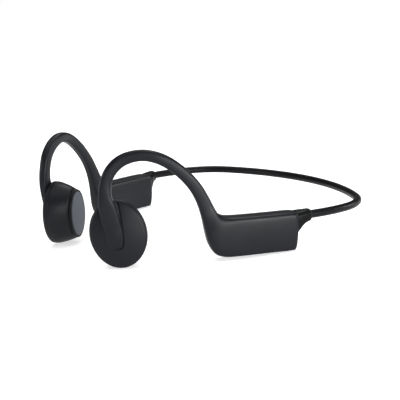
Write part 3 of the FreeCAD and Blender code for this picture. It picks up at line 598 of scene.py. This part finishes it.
def noise(nodes, links, place, scale, detail):
    node = nodes.new("ShaderNodeTexNoise")
    node.inputs["Scale"].default_value = scale
    node.inputs["Detail"].default_value = detail
    links.new(place, node.inputs["Vector"])
    return node.outputs["Fac"]


def add(nodes, links, first, second):
    node = nodes.new("ShaderNodeMath")
    node.operation = "ADD"
    links.new(first, node.inputs[0])
    links.new(second, node.inputs[1])
    return node.outputs["Value"]


def tint(nodes, links, shader, colour, gain):
    """Base colour times a gain that varies over the surface."""
    node = nodes.new("ShaderNodeVectorMath")
    node.operation = "SCALE"
    node.inputs[0].default_value = colour
    links.new(gain, node.inputs["Scale"])
    links.new(node.outputs["Vector"], shader.inputs["Base Color"])


def relief(nodes, links, shader, height, strength, distance):
    node = nodes.new("ShaderNodeBump")
    node.inputs["Strength"].default_value = strength
    node.inputs["Distance"].default_value = distance
    links.new(height, node.inputs["Height"])
    links.new(node.outputs["Normal"], shader.inputs["Normal"])


def soft_touch(name, colour, rough=0.5, grain=9000.0, bump=0.05, specular=0.16, wear=0.35):
    """Moulded or soft-touch surface: fine grain bump, patchy roughness and colour, paler worn edges."""
    spread, matte_spread, pit_share = 0.12, 0.06, 0.45
    material, nodes, links, shader = new_material(name)
    place = nodes.new("ShaderNodeTexCoord").outputs["Object"]
    patches = noise(nodes, links, place, 90.0, 4.0)
    fine = noise(nodes, links, place, grain, 2.0)
    pits = nodes.new("ShaderNodeTexVoronoi")
    pits.inputs["Scale"].default_value = grain * pit_share
    links.new(place, pits.inputs["Vector"])

    tone = remap(nodes, links, patches, 0.3, 0.7, 1 - spread, 1 + spread)
    edges = nodes.new("ShaderNodeNewGeometry").outputs["Pointiness"]
    worn = remap(nodes, links, edges, 0.52, 0.62, 0.0, wear)
    tint(nodes, links, shader, colour, add(nodes, links, tone, worn))
    matte = remap(nodes, links, patches, 0.25, 0.75, rough - matte_spread, rough + matte_spread)
    links.new(matte, shader.inputs["Roughness"])
    relief(nodes, links, shader, add(nodes, links, fine, pits.outputs["Distance"]), bump, 0.0001)
    shader.inputs["Specular IOR Level"].default_value = specular
    return material


def metal(name, colour, rough=0.3, stretch=(1.0, 1.0, 30.0)):
    """Plated or drawn metal with fine directional marks."""
    material, nodes, links, shader = new_material(name)
    lay = nodes.new("ShaderNodeMapping")
    lay.inputs["Scale"].default_value = stretch
    links.new(nodes.new("ShaderNodeTexCoord").outputs["Object"], lay.inputs["Vector"])
    marks = noise(nodes, links, lay.outputs["Vector"], 900.0, 5.0)
    tint(nodes, links, shader, colour, remap(nodes, links, marks, 0.0, 1.0, 0.8, 1.15))
    matte = remap(nodes, links, marks, 0.0, 1.0, rough - 0.1, rough + 0.15)
    links.new(matte, shader.inputs["Roughness"])
    relief(nodes, links, shader, marks, 0.08, 0.00005)
    shader.inputs["Metallic"].default_value = 1.0
    return material


SOFT_LOOKS = {
    "silicone_skin": dict(colour=(0.0038, 0.0046, 0.0064), rough=0.4, bump=0.06, wear=0.25),
    "pod_skin": dict(colour=(0.0038, 0.0046, 0.0064), rough=0.45, bump=0.06, wear=0.25),
    "band_silicone": dict(colour=(0.0032, 0.0034, 0.0042), rough=0.38, specular=0.1, wear=0.0),
    "cap_plastic": dict(colour=(0.0028, 0.003, 0.0034), rough=0.42, bump=0.04, specular=0.07, wear=0.2),
    "seal_rubber": dict(colour=(0.008, 0.008, 0.0085), rough=0.6, bump=0.1, wear=0.0),
    "case_plastic": dict(colour=(0.02, 0.02, 0.021)),
    "bezel_plastic": dict(colour=(0.0035, 0.0036, 0.0042), rough=0.45, bump=0.02, specular=0.1),
    "pad_silicone": dict(colour=(0.052, 0.059, 0.070), rough=0.55, wear=0.1),
    "button_rubber": dict(colour=(0.018, 0.0185, 0.021), bump=0.08),
    "switch_plastic": dict(colour=(0.03, 0.03, 0.033), rough=0.4),
    "board_resin": dict(colour=(0.01, 0.06, 0.03), rough=0.35, grain=2500.0),
    "port_plastic": dict(colour=(0.010, 0.010, 0.011), rough=0.3, bump=0.03),
    "light_pipe": dict(colour=(0.55, 0.57, 0.6), rough=0.35, bump=0.02, wear=0.0),
    "foam_grey": dict(colour=(0.12, 0.12, 0.13), rough=0.85, grain=3000.0, bump=0.6),
    "lead_jacket": dict(colour=(0.03, 0.03, 0.03), rough=0.45),
}
METAL_LOOKS = {
    "screw_steel": dict(colour=(0.45, 0.45, 0.46)),
    "driver_steel": dict(colour=(0.42, 0.42, 0.43)),
    "magnet_nickel": dict(colour=(0.55, 0.54, 0.5), rough=0.22),
    "coil_copper": dict(colour=(0.62, 0.3, 0.14), stretch=(1.0, 1.0, 60.0)),
    "titanium": dict(colour=(0.35, 0.34, 0.33), rough=0.35),
    "contact_gold": dict(colour=(0.75, 0.55, 0.22), rough=0.25),
    "battery_foil": dict(colour=(0.5, 0.5, 0.52), rough=0.35),
}
LOOKS = {name: soft_touch(name, **look) for name, look in SOFT_LOOKS.items()}
LOOKS.update({name: metal(name, **look) for name, look in METAL_LOOKS.items()})


# ---------------------------------------------------------------- pieces

def dress(piece, slot):
    piece.data.materials.clear()
    piece.data.materials.append(LOOKS[slot])


def keep_piece(piece, body, slot, node):
    """Give a made piece its look and its body, and hide the CAD node that it stands for."""
    dress(piece, slot)
    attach(piece, body)
    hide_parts(node)


for row in frame["record"]["subparts"]:
    node = frame["nodes"][row["node"]]
    look = LOOKS[row["material_slot"]]
    if not node.data.materials:
        node.data.materials.append(look)
    for index in range(len(node.material_slots)):
        node.material_slots[index].material = look

bend_line = band_line()

for side, word in ((1, "left"), (-1, "right")):
    arm, pad = word + "_arm", word + "_pad"
    keep_piece(make_sleeve(word + "_sleeve_skin", side), arm, "silicone_skin", word + "_arm_sleeve")
    keep_piece(make_cover(word + "_cover_dome", side), arm, "pod_skin", word + "_pod_cover")
    keep_piece(make_gasket(word + "_gasket_line", side), arm, "seal_rubber", word + "_pod_gasket")
    keep_piece(make_shell(word + "_shell_taper", side), arm, "pod_skin", word + "_pod_shell")
    keep_piece(make_bezel(word + "_bezel_ring", side), arm, "bezel_plastic", word + "_pod_bezel")
    keep_piece(make_pad(word + "_pad_face", side), pad, "pad_silicone", word + "_skin_pad")
    keep_piece(make_cap(word + "_cap_cone", side), arm, "cap_plastic", word + "_end_cap")

    for label, slot, node, diameter, height in BAND_RODS:
        rod = make_band_half(word + "_band_" + label, side, diameter, height)
        dress(rod, slot)
        if side == 1:
            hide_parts(node)
        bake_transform(rod)

# ---------------------------------------------------------------- stage, in metres

FLOOR_SIZE, FLOOR_DROP, FLOOR_GLOW = 3.0, 0.0004, 0.5
WORLD_FILL, SUN_POWER, SUN_ANGLE = 0.12, 1.8, 1.3
# name, place, aim, width, height, power
LIGHTS = (
    ("key_right", (1.2, 0.1, 0.24), (0.04, 0.0, 0.02), 0.7, 0.26, 15.0),
    ("rim_back", (-0.6, 0.5, 0.9), (0, 0, 0.02), 0.35, 0.2, 3.0),
    ("fill_front", (1.05, -0.42, 0.16), (0.03, -0.06, 0.02), 0.22, 0.22, 4.3),
    ("edge_back", (0.42, 1.1, 0.3), (0.0, 0.02, 0.02), 0.3, 0.25, 5.0),
    ("edge_left", (-0.35, -0.9, 0.25), (0, -0.05, 0.03), 0.08, 0.4, 3.0),
)
CAMERA_SPOT = Vector((396.985, -258.666, 125.055)) * MM
CAMERA_RIGHT, CAMERA_UP = Vector((0.5621, 0.8237, -0.0750)), Vector((-0.1493, 0.1902, 0.9703))
CAMERA_LENS, CAMERA_SENSOR = 92.25, 36.0


def make_floor():
    """White floor just below the object, which glows enough to match the backdrop."""
    bm = bmesh.new()
    bmesh.ops.create_grid(bm, x_segments=8, y_segments=8, size=FLOOR_SIZE)
    mesh = bpy.data.meshes.new("floor")
    bm.to_mesh(mesh)
    bm.free()
    floor = bpy.data.objects.new("floor", mesh)
    floor.location.z = cad_box[0].z - FLOOR_DROP
    bpy.context.scene.collection.objects.link(floor)
    material, _, _, shader = new_material("floor_paper")
    shader.inputs["Base Color"].default_value = (0.86, 0.86, 0.87, 1)
    shader.inputs["Roughness"].default_value = 0.9
    shader.inputs["Emission Color"].default_value = (1, 1, 1, 1)
    shader.inputs["Emission Strength"].default_value = FLOOR_GLOW
    mesh.materials.append(material)


def make_world():
    """White backdrop for the camera, which lights the object only dimly."""
    world = bpy.data.worlds.new("studio")
    bpy.context.scene.world = world
    world.use_nodes = True
    nodes, links = world.node_tree.nodes, world.node_tree.links
    shader = nodes["Background"]
    seen = nodes.new("ShaderNodeLightPath").outputs["Is Camera Ray"]
    links.new(remap(nodes, links, seen, 0.0, 1.0, WORLD_FILL, 1.0), shader.inputs["Strength"])
    shader.inputs["Color"].default_value = (1.0, 1.0, 1.0, 1)


def make_camera():
    """Camera to the front left of the wearer, a little above the object."""
    data = bpy.data.cameras.new("camera")
    data.lens, data.sensor_width = CAMERA_LENS, CAMERA_SENSOR
    data.clip_start, data.clip_end = 0.01, 20.0
    camera = bpy.data.objects.new("camera", data)
    back = CAMERA_RIGHT.cross(CAMERA_UP).normalized()
    up = back.cross(CAMERA_RIGHT).normalized()
    turn = Matrix((CAMERA_RIGHT.normalized(), up, back)).transposed().to_4x4()
    camera.matrix_world = Matrix.Translation(CAMERA_SPOT) @ turn
    bpy.context.scene.collection.objects.link(camera)
    bpy.context.scene.camera = camera


def make_overhead():
    """Very soft light straight from above."""
    light = bpy.data.lights.new("overhead", "SUN")
    light.energy, light.angle = SUN_POWER, SUN_ANGLE
    bpy.context.scene.collection.objects.link(bpy.data.objects.new("overhead", light))


def area_light(name, spot, aim, width, height, power):
    light = bpy.data.lights.new(name, "AREA")
    light.shape = "RECTANGLE"
    light.size, light.size_y = width, height
    light.energy = power
    lamp = bpy.data.objects.new(name, light)
    lamp.location = spot
    lamp.rotation_euler = (Vector(aim) - Vector(spot)).to_track_quat("-Z", "Y").to_euler()
    bpy.context.scene.collection.objects.link(lamp)


make_floor()
make_world()
make_camera()
make_overhead()
for row in LIGHTS:
    area_light(*row)
bpy.context.scene.view_settings.view_transform = "Standard"
